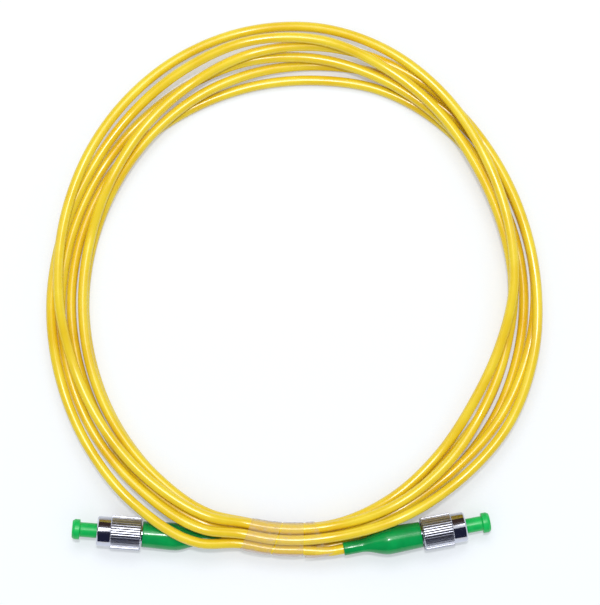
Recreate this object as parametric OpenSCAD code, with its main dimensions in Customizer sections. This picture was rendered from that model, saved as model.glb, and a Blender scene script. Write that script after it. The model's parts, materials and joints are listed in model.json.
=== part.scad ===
// Simplex fibre optic patch cord, wound into a flat six-turn coil and held by three wraps of tape.
// Both ends carry an angle-polished screw connector with a knurled nut, a moulded boot and a dust cap.
// Millimetres, +Z up. The origin is on the floor, under the middle of the taped bundle.

/* [Cord] */
// Outside diameter of the jacket
cord_d = 3.0; // [2.6:0.1:3.1]
// Half of the coil's reference oval, from side to side
coil_half_x = 73.5; // [70:0.5:80]
// Half of the coil's reference oval, from the tape to the far side
coil_half_y = 79.5; // [76:0.5:86]
// Clear space between neighbours in the taped bundle
bundle_gap = 0.6; // [0.56:0.02:0.7]
// Clear space where one turn climbs over another
climb_gap = 0.65; // [0.6:0.05:0.9]

/* [Tape] */
// Thickness of a wrap of tape
tape_t = 0.12; // [0.1:0.02:0.3]
// Clear space between the tape and the turns in it
tape_clear = 0.08; // [0.05:0.01:0.2]
// Clear space between the inner edges of neighbouring wraps
tape_seam = 0.1; // [0.05:0.05:0.5]

/* [Boot] */
// Length of the boot, from the cord's exit to its wide end
boot_l = 23.6; // [22:0.2:26]
// Diameter of the boot's narrow neck
boot_neck_d = 4.0; // [3.9:0.1:4.6]
// Diameter at the fullest part of the boot
boot_belly_d = 8.3; // [8:0.1:8.5]
// Diameter of the boot's wide end, at the nut
boot_end_d = 7.8; // [7:0.1:8]
// Length of the straight neck
boot_neck_l = 5.2; // [4:0.2:6]
// Distance from the cord's exit to the fullest part
boot_belly_at = 14.0; // [13:0.2:15]

/* [Coupling nut] */
// Outside diameter over the knurls
nut_d = 10; // [9.8:0.1:11]
// Length of the nut
nut_l = 13.3; // [12.8:0.1:14.5]
// Length of the knurled part
knurl_l = 9.2; // [8.6:0.1:9.6]
// Number of straight knurls
knurl_count = 38; // [24:2:44]
// Depth of a knurl's groove
knurl_depth = 0.35; // [0.2:0.05:0.4]
// Diameter of the plain front part
nut_front_d = 8.9; // [8.5:0.1:9.4]
// Bore of the front part, the crests of an M8 x 0.75 thread
thread_bore_d = 7.3; // [7.2:0.05:7.5]
// Length of the threaded front
thread_l = 5.8; // [5:0.1:6.2]
// How far the nut slides forward before the clip meets the flange
nut_travel = 3.5; // [2.5:0.1:3.6]

/* [Plug] */
// Diameter of the ceramic ferrule
ferrule_d = 2.5; // [2.4:0.05:2.5]
// Length of the ferrule
ferrule_l = 9.6; // [9.2:0.1:10]
// How far the ferrule stands past the nut at rest
ferrule_stand = 1.0; // [0.5:0.1:1.5]
// Angle of the polished end
polish_angle = 8; // [0:1:9]
// Travel of the sprung ferrule
ferrule_travel = 1.0; // [0.5:0.1:1]
// Outside diameter of the plug frame's barrel
barrel_d = 5.9; // [5.8:0.05:6]
// Wall of the barrel
barrel_wall = 0.45; // [0.4:0.05:0.5]
// Width of the alignment key
key_w = 2.0; // [1.8:0.05:2.2]
// Height of the alignment key
key_h = 0.4; // [0.3:0.05:0.4]
// Wire of the ferrule spring
spring_wire = 0.45; // [0.3:0.05:0.5]
// Curls of the ferrule spring
spring_curls = 8; // [6:1:9]

/* [Dust cap] */
// Diameter of the cap's stem
cap_stem_d = 4.4; // [4:0.1:4.4]
// Diameter of the cap's grip flange
cap_flange_d = 6.1; // [5.6:0.1:6.6]
// Thickness of the grip flange
cap_flange_t = 2.3; // [1.6:0.1:2.6]
// How far the cap stands past the nut
cap_stand = 7.4; // [6.4:0.1:8]

/* [Lie of the connectors] */
// Where the left boot lets the cord out, in plan
left_exit = [-19.7, -0.55];
// Heading of the left connector, from the -X axis towards +Y
left_heading = 4.8; // [3:0.1:6]
// Where the right boot lets the cord out, in plan
right_exit = [17.2, -2.8];
// Heading of the right connector, from the +X axis towards +Y
right_heading = 10.2; // [9:0.1:12]

/* [Hidden] */
$fn = 64;
ENDS = ["left", "right"];
CONNECTOR = [
    "boot", "jacket_tail", "crimp_sleeve", "aramid_yarn", "buffered_fibre", "rear_body", "plug_frame",
    "ferrule_spring", "ferrule_holder", "ferrule", "retaining_clip", "coupling_nut", "dust_cap"
];
WRAPS = 3;

// ---- Clearances and walls ----
slide = 0.05;        // radial clearance of a sliding fit
press = 0.01;        // radial clearance of a pressed fit
free = 0.3;          // radial clearance between pieces that must not touch
lay = 0.1;           // space between pieces that only lie together

// ---- Stations along a connector, from the cord's exit towards the front ----
nut_from = boot_l + free;
nut_to = nut_from + nut_l;
bore_to = nut_to - thread_l;
clip_t = 0.7;
clip_from = nut_from + 0.8;
clip_to = clip_from + clip_t;
flange_from = clip_to + nut_travel + 0.2;
flange_t = 1.2;
flange_to = flange_from + flange_t;
frame_from = clip_to + 0.2;
frame_to = nut_to - 1;
lip_depth = 5.5; // from the nut's front face in to the lip that stops the ferrule holder
lip_from = nut_to - lip_depth;
lip_t = 1.0;
lip_to = lip_from + lip_t;
holder_to = lip_from - free;
holder_l = 3.3;
holder_from = holder_to - holder_l;
holder_boss_l = 1.0;
ferrule_to = nut_to + ferrule_stand;
ferrule_from = ferrule_to - ferrule_l;
cap_to = nut_to + cap_stand;
cap_from = lip_to + ferrule_travel + 0.4;
stem_from = 12.0;
stem_to = 19.0;
pocket_from = 20.5;
stud_to = frame_from + 2.0;
tail_to = stem_from - 0.7;
seat_from = tail_to - 0.1;

// ---- Radii ----
nut_r = nut_d / 2;
frame_bore_r = barrel_d / 2 - barrel_wall;
neck_r = 3.1;
bore_r = 4.0;
flange_r = bore_r - free;
clip_in_r = neck_r + free;
clip_out_r = bore_r + 0.15;
groove_r = clip_out_r + lay;
stem_r = 2.1;
pocket_r = 2.2;
pocket_wall = 0.45;
shell_r = pocket_r + pocket_wall;
yarn_t = 0.27;
sleeve_in_r = stem_r + slide + yarn_t + slide;
fibre_r = 0.45;
fibre_hole_r = fibre_r + lay;
stem_bore_r = 0.8;
holder_r = frame_bore_r - free - slide;
spring_r = 1.775;
cap_bore_r = ferrule_d / 2 + slide / 2;

// ---- How each connector lies: its nut and its belly, or the cord it hangs from, decide the tilt ----
row_z = cord_d / 2 + tape_clear + tape_t;
pitch = cord_d + bundle_gap;
column_step = pitch * sqrt(3) / 2;
belly_lift = nut_r - boot_belly_d / 2 - 0.15;
left_exit_z = nut_r - belly_lift * nut_from / (nut_from - boot_belly_at);
right_exit_z = row_z + 1.5 * pitch - 0.25;
// The nut rests on its rear rim, or slid forward on the front of its knurls where the exit is higher up
function tilt_to(z) = let (at = z > nut_r ? nut_from + knurl_l + nut_travel : nut_from)
    acos(z / norm([at, nut_r])) - atan2(at, nut_r);
function exit_of(end) = end == "left"
    ? [left_exit[0], left_exit[1], left_exit_z]
    : [right_exit[0], right_exit[1], right_exit_z];
function heading_of(end) = end == "left" ? 180 - left_heading : right_heading;
function tilt_of(end) = tilt_to(exit_of(end)[2]);
function axis_of(end) =
    let (h = heading_of(end), t = tilt_of(end)) [cos(t) * cos(h), cos(t) * sin(h), sin(t)];

// ---- The coil ----
// Angles run anticlockwise from +X round the oval. A turn starts where it leaves the tape on the right,
// goes over the far side, and ends where it leaves the tape again, one full turn on.
tape_from = 258;
tape_to = 278;
near_tape = 249.5;
FREE_RINGS = 20;
RING_ANGLE = concat(
    [for (i = [0:FREE_RINGS]) tape_to + (near_tape + 360 - tape_to) * i / FREE_RINGS],
    [for (i = [0:WRAPS - 1]) tape_from + 360 + (tape_to - tape_from) * i / WRAPS]
);
RINGS = len(RING_ANGLE);
LAST = FREE_RINGS + 1;

// The cord passes the tape seven times, in columns of two, three and two: [column in, pitches up].
PASS = [[-1, 0.5], [0, 1], [0, 0], [0, 2], [1, 0.5], [1, 1.5], [-1, 1.5]];
TURNS = len(PASS) - 1;
bundle_lane = 4.1;

// How far the cord's right end has drifted outwards where it leaves the last wrap
drift = 1.1;

// How far inside the reference oval each turn lies, at every half hour of a clock face and near the tape.
CLOCK = [300, 330, 360, 390, 420, 450, 480, 510, 540, 570, 600, 609.5];
LANES = [
    [3.2, 3.4, 4.6, 7.8, 12.4, 17.1, 15.6, 9.6, 6.2, 4.4, 2.8, 3.2],
    [4.9, 2.0, 1.2, 4.2, 8.0, 12.8, 13.9, 12.8, 10.2, 8.2, 5.6, 3.9],
    [7.5, 7.4, 8.0, 8.2, 10.6, 10.3, 9.2, 6.8, 3.4, 1.0, 1.4, 1.8],
    [2.4, -0.8, 1.2, 3.8, 5.2, 7.4, 10.0, 11.2, 10.0, 8.0, 6.7, 6.2],
    [9.6, 11.6, 8.4, 7.0, 3.4, 0.8, 1.0, 2.0, 3.0, 4.4, 5.4, 5.8],
    [7.0, 8.0, 8.2, 10.0, 8.4, 5.0, 5.2, 4.4, 0.8, -1.8, -3.0, -2.6]
];

// Which turn lies on which, from the bottom: just after the tape, over most of the coil, just before it.
PILE_AFTER = [0, 2, 4, 1, 5, 3];
PILE = [0, 1, 2, 3, 5, 4];
PILE_BEFORE = [1, 3, 0, 4, 2, 5];
// The last turn bridges the left boot: [ring, height of the cord's middle].
BRIDGE = [[18, 8.0], [19, 10.2], [20, 9.0]];
// The most that a turn falls from one ring to the next
fall = 3.0;

function sum_sq(v) = v * v;
function oval_r(a) = 1 / norm([cos(a) / coil_half_x, sin(a) / coil_half_y]);
coil_middle = let (a = (tape_from + tape_to) / 2, r = oval_r(a) - bundle_lane) [-r * cos(a), -r * sin(a)];
function on_coil(a, lane, z) = let (r = oval_r(a) - lane)
    [coil_middle[0] + r * cos(a), coil_middle[1] + r * sin(a), z];
function pass_lane(p) = bundle_lane + PASS[p][0] * column_step;
function pass_z(p) = row_z + PASS[p][1] * pitch;

// A smooth curve through knots, level at both ends
function knot_slope(x, y, i) = i == 0 || i == len(x) - 1 ? 0 :
    let (h0 = x[i] - x[i - 1], h1 = x[i + 1] - x[i])
    ((y[i] - y[i - 1]) / h0 * h1 + (y[i + 1] - y[i]) / h1 * h0) / (h0 + h1);
function through(x, y, at, i = 0) = at > x[i + 1] && i < len(x) - 2 ? through(x, y, at, i + 1) :
    let (h = x[i + 1] - x[i], t = (at - x[i]) / h, u = 1 - t)
    (1 + 2 * t) * u * u * y[i] + t * u * u * h * knot_slope(x, y, i)
    + t * t * (3 - 2 * t) * y[i + 1] - t * t * u * h * knot_slope(x, y, i + 1);

KNOTS = concat([RING_ANGLE[0]], CLOCK, [RING_ANGLE[LAST]]);
RING_KEYS = [for (i = [0:RINGS - 1]) [i, RING_ANGLE[i]]];
// Each turn's lane at every half ring, up to the tape
HALF_LANES = [
    for (k = [0:TURNS - 1])
        let (y = concat([pass_lane(k)], LANES[k], [pass_lane(k + 1)]))
        [for (h = [0:2 * LAST]) through(KNOTS, y, lookup(h / 2, RING_KEYS))]
];
function lane(k, i) = i > LAST ? pass_lane(k + 1) : HALF_LANES[k][2 * i];

// How much higher turn k has to be than turn j at ring i, from their least distance in plan near it
function climb(k, j, i) =
    let (
        gaps = [for (h = [-1:1]) HALF_LANES[k][2 * i + h] - HALF_LANES[j][2 * i + h]],
        crossing = min(gaps) < 0 && max(gaps) > 0,
        apart = crossing ? 0 : min([for (g = gaps) abs(g)]),
        needed = cord_d + climb_gap
    )
    apart < needed ? sqrt(needed * needed - apart * apart) : -needed * TURNS;
function least_z(k, i) = let (found = search(i, BRIDGE)) k == TURNS - 1 && len(found) > 0
    ? BRIDGE[found[0]][1] : cord_d / 2;
function pile_order(i) = i <= 2 ? PILE_AFTER : i <= 18 ? PILE : PILE_BEFORE;
// Heights of all turns at ring i, laid down one after the other
function laid(i, order, n = 0, z = [for (k = [1:TURNS]) 0]) = n == TURNS ? z :
    let (k = order[n], up = [for (m = [0:1:n - 1]) z[order[m]] + climb(k, order[m], i)])
    laid(i, order, n + 1, [for (t = [0:TURNS - 1]) t == k ? max(concat([least_z(k, i)], up)) : z[t]]);
LAID = [for (i = [0:LAST]) i == 0 ? [for (k = [0:TURNS - 1]) pass_z(k)]
    : i == LAST ? [for (k = [0:TURNS - 1]) pass_z(k + 1)] : laid(i, pile_order(i))];
// The cord falls no faster than its stiffness lets it
function height(k, i) = i == 0 ? pass_z(k) : i >= LAST ? pass_z(k + 1) :
    max([for (j = [0:LAST]) LAID[j][k] - fall * abs(i - j)]);

function tail(end) = exit_of(end) - cord_d * axis_of(end);
ROUTE = concat(
    [exit_of("left"), tail("left")],
    [for (i = [LAST:RINGS - 1]) on_coil(RING_ANGLE[i], pass_lane(0), pass_z(0))],
    [for (k = [0:TURNS - 1]) for (i = [0:RINGS - 1]) on_coil(RING_ANGLE[i], lane(k, i), height(k, i))],
    [tail("right"), exit_of("right")]
);
function route_length(i = 0) = i == len(ROUTE) - 1 ? 0 : norm(ROUTE[i + 1] - ROUTE[i]) + route_length(i + 1);

// Least clear space between stretches of the cord, on points a quarter of a ring apart
function self_gap() =
    let (
        parts = 4,
        fine = [
            for (i = [0:len(ROUTE) - 2]) for (s = [0:parts - 1])
                ROUTE[i] + (ROUTE[i + 1] - ROUTE[i]) * s / parts
        ],
        count = len(fine),
        skip = parts * 6
    )
    min([for (i = [0:count - 1 - skip]) min([for (j = [i + skip:count - 1]) norm(fine[i] - fine[j])])])
    - cord_d;

// ---- Shared shapes ----
function unit(v) = v / norm(v);
function along(path, i) = unit(path[min(i + 1, len(path) - 1)] - path[max(i - 1, 0)]);

// One closed tube of six sides along a path. `across` is a direction for the first corner of each ring.
module tube(path, across, radius) {
    sides = 6;
    last = len(path) - 1;
    points = [
        for (i = [0:last])
            let (t = along(path, i), u = unit(across[i] - t * (across[i] * t)), v = cross(t, u))
            for (s = [0:sides - 1]) path[i] + radius * (cos(360 * s / sides) * u + sin(360 * s / sides) * v)
    ];
    walls = [
        for (i = [0:last - 1]) for (s = [0:sides - 1])
            let (a = i * sides + s, b = i * sides + (s + 1) % sides, c = b + sides, d = a + sides)
            each [[a, c, b], [a, d, c]]
    ];
    foot = [for (s = [1:sides - 2]) [0, s, s + 1]];
    head = [for (s = [1:sides - 2]) [last * sides, last * sides + s + 1, last * sides + s]];
    polyhedron(points, concat(walls, foot, head), convexity = 10);
}

// A solid of revolution from a half profile
module turned(profile) {
    rotate_extrude() polygon(profile);
}

module ring(from, to, outer, inner) {
    difference() {
        translate([0, 0, from]) cylinder(h = to - from, r = outer);
        translate([0, 0, from - 1]) cylinder(h = to - from + 2, r = inner);
    }
}

// Sets a connector's own frame, with +Z from the cord's exit to the front and -X uppermost, in its place
module at_end(end) {
    translate(exit_of(end)) rotate([0, 90 - tilt_of(end), heading_of(end)]) children();
}

// ---- Cord and tape ----
module cord() {
    echo(self_gap = self_gap(), cord_length = route_length());
    color([0.93, 0.76, 0.13])
        tube(ROUTE, [for (i = [0:len(ROUTE) - 1]) let (t = along(ROUTE, i)) [-t[1], t[0], 0]], cord_d / 2);
}

// Outline of a tight wrap at a distance from the centres of the bundle's outer turns. Its facets touch the
// true arcs at their middles, so that the lowest one lies flat.
module wrap_outline(centres, distance) {
    arc_steps = 4;
    count = len(centres);
    normal = [
        for (k = [0:count - 1])
            let (side = centres[(k + 1) % count] - centres[k]) atan2(-side[0], side[1])
    ];
    polygon([
        for (k = [0:count - 1])
            let (from = normal[(k + count - 1) % count], turn = (normal[k] - from + 360) % 360)
            for (s = [0:arc_steps - 1])
                let (a = from + turn * (s + 0.5) / arc_steps)
                    centres[k] + distance / cos(turn / arc_steps / 2) * [cos(a), sin(a)]
    ]);
}

function seam_angle(w) = tape_from + (tape_to - tape_from) * w / WRAPS;
function seam_point(w) = on_coil(seam_angle(w), bundle_lane, row_z + pitch);
function wrap_heading(w) = let (chord = seam_point(w + 1) - seam_point(w)) atan2(chord[1], chord[0]);

module tape_wrap(w) {
    inside = cord_d / 2 + tape_clear;
    outside = inside + tape_t;
    bend = (wrap_heading(w + 1) - wrap_heading(w - 1)) / 2;
    width = norm(seam_point(w + 1) - seam_point(w)) - 2 * (column_step + outside) * tan(bend / 2) - tape_seam;
    loose = w == WRAPS - 1 ? drift : 0;
    centres = [for (k = [0:5]) pitch * [cos(60 * k + 30), sin(60 * k + 30)] - [k == 2 ? loose : 0, 0]];
    color([0.86, 0.74, 0.6, 0.6])
        translate((seam_point(w) + seam_point(w + 1)) / 2) rotate([90, 0, wrap_heading(w) + 90])
            linear_extrude(height = width, center = true) difference() {
                wrap_outline(centres, outside);
                wrap_outline(centres, inside);
            }
}

// ---- Connector, in its own frame ----
// Radius of the boot: a straight neck, a swelling to the belly and a slight draw-in to the wide end
function boot_r(z) =
    z < boot_neck_l ? boot_neck_d / 2 :
    z < boot_belly_at ? let (t = (z - boot_neck_l) / (boot_belly_at - boot_neck_l))
        boot_neck_d / 2 + (boot_belly_d - boot_neck_d) / 2 * (1 - cos(180 * t)) / 2 :
    let (t = (z - boot_belly_at) / (boot_l - boot_belly_at))
        boot_belly_d / 2 - (boot_belly_d - boot_end_d) / 2 * (1 - cos(180 * t)) / 2;

module boot() {
    edge = 0.25;
    swell_steps = 12;
    draw_steps = 5;
    color([0.0, 0.56, 0.27]) turned(concat(
        [[cord_d / 2 + lay, 0], [boot_neck_d / 2 - edge, 0], [boot_neck_d / 2, edge]],
        [for (s = [0:swell_steps])
            let (z = boot_neck_l + (boot_belly_at - boot_neck_l) * s / swell_steps) [boot_r(z), z]],
        [for (s = [1:draw_steps - 1])
            let (z = boot_belly_at + (boot_l - boot_belly_at) * s / draw_steps) [boot_r(z), z]],
        [[boot_end_d / 2, boot_l - edge], [boot_end_d / 2 - edge, boot_l]],
        [[shell_r + lay, boot_l], [shell_r + lay, seat_from], [cord_d / 2 + lay, seat_from]]
    ));
}

module jacket_tail() {
    color([0.93, 0.76, 0.13]) cylinder(h = tail_to, r = cord_d / 2);
}

// Hexagonal where the tool has closed it, round at its front lip
module crimp_sleeve() {
    lip = 1.2;
    across_flats = 2 * (shell_r - 0.05);
    from = stem_from - 0.3;
    to = stem_to - 0.5;
    color([0.78, 0.79, 0.8]) difference() {
        union() {
            intersection() {
                translate([0, 0, from]) cylinder(h = to - from, r = shell_r);
                translate([0, 0, from]) cylinder(h = to - from, d = across_flats / cos(30), $fn = 6);
            }
            translate([0, 0, to - lip]) cylinder(h = lip, r = shell_r);
        }
        translate([0, 0, from - 1]) cylinder(h = to - from + 2, r = sleeve_in_r);
    }
}

// Strength yarn, opened out of the jacket and folded back over the crimp stem
module aramid_yarn() {
    inner = stem_r + slide;
    flare = stem_from - 0.1;
    core = fibre_hole_r;
    from = tail_to + lay;
    color([0.95, 0.83, 0.35]) turned([
        [core, from], [cord_d / 2 - lay, from], [inner + yarn_t, flare], [inner + yarn_t, stem_to - 0.5],
        [inner, stem_to - 0.5], [inner, flare]
    ]);
}

module buffered_fibre() {
    color([0.95, 0.95, 0.97]) translate([0, 0, tail_to + slide])
        cylinder(h = holder_from - holder_boss_l + free - tail_to - slide, r = fibre_r, $fn = 32);
}

module rear_body() {
    collar_from = boot_l + lay;
    flat = neck_r - 0.35;
    color([0.8, 0.81, 0.83]) difference() {
        turned([
            [stem_bore_r, stem_from], [stem_r, stem_from], [stem_r, stem_to], [shell_r, stem_to],
            [shell_r, collar_from], [neck_r, collar_from], [neck_r, frame_from],
            [frame_bore_r - slide, frame_from], [frame_bore_r - slide, stud_to], [pocket_r, stud_to],
            [pocket_r, pocket_from], [stem_bore_r, pocket_from]
        ]);
        for (side = [-1, 1])
            translate([-neck_r, side > 0 ? flat : -flat - neck_r, collar_from - lay])
                cube([2 * neck_r, neck_r, frame_from - collar_from + lay]);
    }
}

module plug_frame() {
    key_l = 4.0;
    chamfer = 0.2;
    guide_r = ferrule_d / 2 + slide;
    barrel_r = barrel_d / 2;
    color([0.82, 0.83, 0.85]) union() {
        turned([
            [frame_bore_r, frame_from], [neck_r, frame_from], [neck_r, flange_from],
            [flange_r - chamfer, flange_from], [flange_r, flange_from + chamfer],
            [flange_r, flange_to - chamfer], [flange_r - chamfer, flange_to],
            [barrel_r, flange_to], [barrel_r, frame_to - chamfer], [barrel_r - chamfer, frame_to],
            [frame_bore_r, frame_to], [frame_bore_r, lip_to], [guide_r, lip_to], [guide_r, lip_from],
            [frame_bore_r, lip_from]
        ]);
        difference() {
            intersection() {
                translate([-barrel_r - key_h, -key_w / 2, frame_to - key_l - 1])
                    cube([barrel_r + key_h, key_w, key_l]);
                cylinder(h = frame_to, r = barrel_r + key_h);
            }
            cylinder(h = frame_to + 1, r = barrel_r - barrel_wall / 2);
        }
    }
}

module ferrule_spring() {
    from = pocket_from + lay + spring_wire / 2;
    to = holder_from - lay - spring_wire / 2;
    rings_per_curl = 8;
    steps = spring_curls * rings_per_curl;
    dead = 1;
    function rise(s) = s < dead * rings_per_curl ? spring_wire * 1.15 * s / rings_per_curl
        : s > steps - dead * rings_per_curl
            ? (to - from) - spring_wire * 1.15 * (steps - s) / rings_per_curl
            : let (first = spring_wire * 1.15 * dead, t = (s - dead * rings_per_curl)
                / (steps - 2 * dead * rings_per_curl)) first + (to - from - 2 * first) * t;
    function out(s) = [cos(360 * s / rings_per_curl), sin(360 * s / rings_per_curl), 0];
    color([0.7, 0.71, 0.73]) tube(
        [for (s = [0:steps]) spring_r * out(s) + [0, 0, from + rise(s)]],
        [for (s = [0:steps]) out(s)],
        spring_wire / 2
    );
}

module ferrule_holder() {
    chamfer = 0.3;
    boss_r = 1.3;
    socket_r = ferrule_d / 2 + press;
    color([0.76, 0.77, 0.79]) turned([
        [fibre_hole_r, holder_from - holder_boss_l], [boss_r, holder_from - holder_boss_l],
        [boss_r, holder_from], [holder_r, holder_from], [holder_r, holder_to - chamfer],
        [holder_r - chamfer, holder_to], [socket_r, holder_to], [socket_r, ferrule_from - slide],
        [fibre_hole_r, ferrule_from - slide]
    ]);
}

module ferrule() {
    r = ferrule_d / 2;
    nose_r = 0.75;
    nose_l = 0.45;
    color([0.96, 0.96, 0.94]) difference() {
        turned([
            [0, ferrule_from], [r, ferrule_from], [r, ferrule_to - nose_l], [nose_r, ferrule_to],
            [0, ferrule_to]
        ]);
        translate([0, 0, ferrule_to - nose_r * tan(polish_angle)]) rotate([0, -polish_angle, 0])
            translate([-2 * r, -2 * r, 0]) cube([4 * r, 4 * r, 2]);
    }
}

// Open ring that snaps into the nut's groove and carries the nut against the frame's flange
module retaining_clip() {
    opening = 2.4;
    color([0.72, 0.73, 0.75]) difference() {
        ring(clip_from, clip_to, clip_out_r, clip_in_r);
        translate([0, -opening / 2, clip_from - 1]) cube([clip_out_r + 1, opening, clip_t + 2]);
    }
}

// Straight knurls: flat lands with shallow grooves between them
module knurl_outline() {
    step = 360 / knurl_count;
    polygon([
        for (k = [0:knurl_count - 1])
            each [
                nut_r * [cos(step * k), sin(step * k)],
                nut_r * [cos(step * (k + 0.42)), sin(step * (k + 0.42))],
                (nut_r - knurl_depth) * [cos(step * (k + 0.6)), sin(step * (k + 0.6))],
                (nut_r - knurl_depth) * [cos(step * (k + 0.82)), sin(step * (k + 0.82))]
            ]
    ]);
}

module coupling_nut() {
    chamfer = 0.4;
    front_r = nut_front_d / 2;
    mouth = 0.35;
    color([0.83, 0.83, 0.84]) difference() {
        union() {
            intersection() {
                translate([0, 0, nut_from]) linear_extrude(height = knurl_l) knurl_outline();
                turned([
                    [0, nut_from], [nut_r - chamfer, nut_from], [nut_r, nut_from + chamfer],
                    [nut_r, nut_from + knurl_l - chamfer / 2], [nut_r - chamfer / 2, nut_from + knurl_l],
                    [0, nut_from + knurl_l]
                ]);
            }
            turned([
                [0, nut_from + knurl_l - 1], [front_r, nut_from + knurl_l - 1],
                [front_r, nut_to - chamfer], [front_r - chamfer, nut_to], [0, nut_to]
            ]);
        }
        turned([
            [0, nut_from - 1], [bore_r, nut_from - 1], [bore_r, clip_from - lay], [groove_r, clip_from - lay],
            [groove_r, clip_to + lay], [bore_r, clip_to + lay], [bore_r, bore_to],
            [thread_bore_d / 2, bore_to], [thread_bore_d / 2, nut_to - mouth],
            [thread_bore_d / 2 + mouth, nut_to], [thread_bore_d / 2 + mouth, nut_to + 1], [0, nut_to + 1]
        ]);
    }
}

module dust_cap() {
    stem_r = cap_stem_d / 2;
    flange_r = cap_flange_d / 2;
    bevel = 0.55;
    bore_depth = ferrule_to + 0.4 - cap_from;
    edge = 0.2;
    flange_at = cap_to - cap_flange_t;
    color([0.1, 0.78, 0.3]) difference() {
        turned([
            [0, cap_from], [stem_r - edge, cap_from], [stem_r, cap_from + edge], [stem_r, flange_at - edge],
            [stem_r + edge, flange_at], [flange_r - edge, flange_at], [flange_r, flange_at + edge],
            [flange_r, cap_to - 2 * bevel], [flange_r - bevel / 2, cap_to - bevel / 2],
            [flange_r - bevel, cap_to], [0, cap_to]
        ]);
        translate([0, 0, cap_from - 1]) cylinder(h = bore_depth + 1, r = cap_bore_r);
    }
}

module piece(name) {
    if (name == "boot") boot();
    if (name == "jacket_tail") jacket_tail();
    if (name == "crimp_sleeve") crimp_sleeve();
    if (name == "aramid_yarn") aramid_yarn();
    if (name == "buffered_fibre") buffered_fibre();
    if (name == "rear_body") rear_body();
    if (name == "plug_frame") plug_frame();
    if (name == "ferrule_spring") ferrule_spring();
    if (name == "ferrule_holder") ferrule_holder();
    if (name == "ferrule") ferrule();
    if (name == "retaining_clip") retaining_clip();
    if (name == "coupling_nut") coupling_nut();
    if (name == "dust_cap") dust_cap();
}

cord();
for (w = [0:WRAPS - 1])
    tape_wrap(w);
for (end = ENDS) for (name = CONNECTOR)
    at_end(end) piece(name);
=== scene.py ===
"""Dresses a coiled fibre optic patch cord: its jacket, tape, boots, coupling nuts, dust caps and plugs.

Lengths are metres in the frame's own axes: +Z up, +X along the taped bundle towards the right connector,
+Y from the tape across the coil. Settings are in millimetres, as on a drawing.
"""

import json
import math

import bmesh
import bpy
import numpy as np
from bpy.props import FloatProperty, FloatVectorProperty, IntProperty, PointerProperty
from bpy.types import Operator, Panel, PropertyGroup
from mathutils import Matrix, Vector


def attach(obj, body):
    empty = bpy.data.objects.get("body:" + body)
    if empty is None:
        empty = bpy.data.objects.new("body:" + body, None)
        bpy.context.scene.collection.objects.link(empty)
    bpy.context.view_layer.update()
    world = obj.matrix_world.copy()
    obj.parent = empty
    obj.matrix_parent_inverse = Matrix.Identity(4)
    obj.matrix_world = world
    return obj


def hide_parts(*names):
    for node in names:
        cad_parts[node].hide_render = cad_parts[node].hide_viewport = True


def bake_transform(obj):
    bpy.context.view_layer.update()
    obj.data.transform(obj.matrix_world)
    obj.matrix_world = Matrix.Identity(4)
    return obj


bl_info = {
    "name": "Fibre Optic Patch Cord",
    "version": (1, 0, 0),
    "blender": (4, 5, 0),
    "location": "View3D > Sidebar > Patch Cord",
    "description": "Builds the jacket, tape, boots, nuts, caps and plugs of a coiled patch cord",
    "category": "Object",
}

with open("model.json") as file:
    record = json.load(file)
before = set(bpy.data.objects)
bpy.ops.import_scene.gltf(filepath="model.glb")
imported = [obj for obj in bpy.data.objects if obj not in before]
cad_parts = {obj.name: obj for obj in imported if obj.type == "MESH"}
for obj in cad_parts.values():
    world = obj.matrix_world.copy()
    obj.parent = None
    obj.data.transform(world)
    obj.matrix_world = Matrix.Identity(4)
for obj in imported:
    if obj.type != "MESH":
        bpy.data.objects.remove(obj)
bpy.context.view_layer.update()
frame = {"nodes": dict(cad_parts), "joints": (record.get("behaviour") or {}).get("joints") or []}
MM = 0.001
UP = np.array([0.0, 0.0, 1.0])
ENDS = ("left", "right")


# ---- Settings ----

def size(name, description, default, low, high):
    """A length in millimetres that a user may change."""
    return FloatProperty(name=name, description=description, default=default, min=low, max=high, precision=2)


def tint(name, description, default):
    """A linear colour that a user may change."""
    return FloatVectorProperty(
        name=name, description=description, default=default, min=0.0, max=1.0, size=3, subtype="COLOR"
    )


class CordSettings(PropertyGroup):
    diameter: size("Diameter", "Outside diameter of the jacket, mm", 3.0, 2.6, 3.1)
    colour: tint("Jacket", "Colour of the jacket", (0.95, 0.71, 0.025))
    shade: tint("Jacket shade", "Deeper colour in the jacket's mottling", (0.88, 0.57, 0.01))


class TapeSettings(PropertyGroup):
    slack: size("Slack", "How far a wrap stands off the outermost turn, mm", 0.24, 0.0, 0.9)
    film: size("Film", "Thickness of the tape's film, mm", 0.06, 0.03, 0.2)
    colour: tint("Tape", "Colour of the adhesive film", (0.88, 0.67, 0.36))
    # The lip colour is painted shade: the grey of the shadowed floor seen through film that stands clear of
    # the cord.
    lip: tint("Lip", "Colour of the film where nothing lies behind it", (0.86, 0.72, 0.63))


class ConnectorSettings(PropertyGroup):
    nut_diameter: size("Nut", "Diameter over the knurls, mm", 10.0, 9.8, 11.0)
    knurls: IntProperty(name="Knurls", description="Number of straight knurls", default=38, min=24, max=44)
    knurl_depth: size("Knurl depth", "Depth of a knurl's groove, mm", 0.35, 0.2, 0.4)
    boot: tint("Boot", "Colour of the moulded boot", (0.0, 0.36, 0.075))
    cap: tint("Cap", "Colour of the dust cap", (0.0, 0.56, 0.1))
    metal: tint("Plating", "Colour of the nickel plating", (0.58, 0.6, 0.69))


class StageSettings(PropertyGroup):
    lens: FloatProperty(
        name="Lens", description="Focal length of the camera", default=135.0, min=50.0, max=300.0,
        unit="CAMERA",
    )
    softbox: FloatProperty(
        name="Softbox", description="Power of the large lamp", default=1.6, min=0.0, max=20.0, unit="POWER"
    )
    strip: FloatProperty(
        name="Strip", description="Power of the narrow lamp", default=2.6, min=0.0, max=20.0, unit="POWER"
    )
    sky: FloatProperty(
        name="Sky", description="Strength of the light from all round", default=0.64, min=0.0, max=2.0
    )


# ---- Node trees ----

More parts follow.
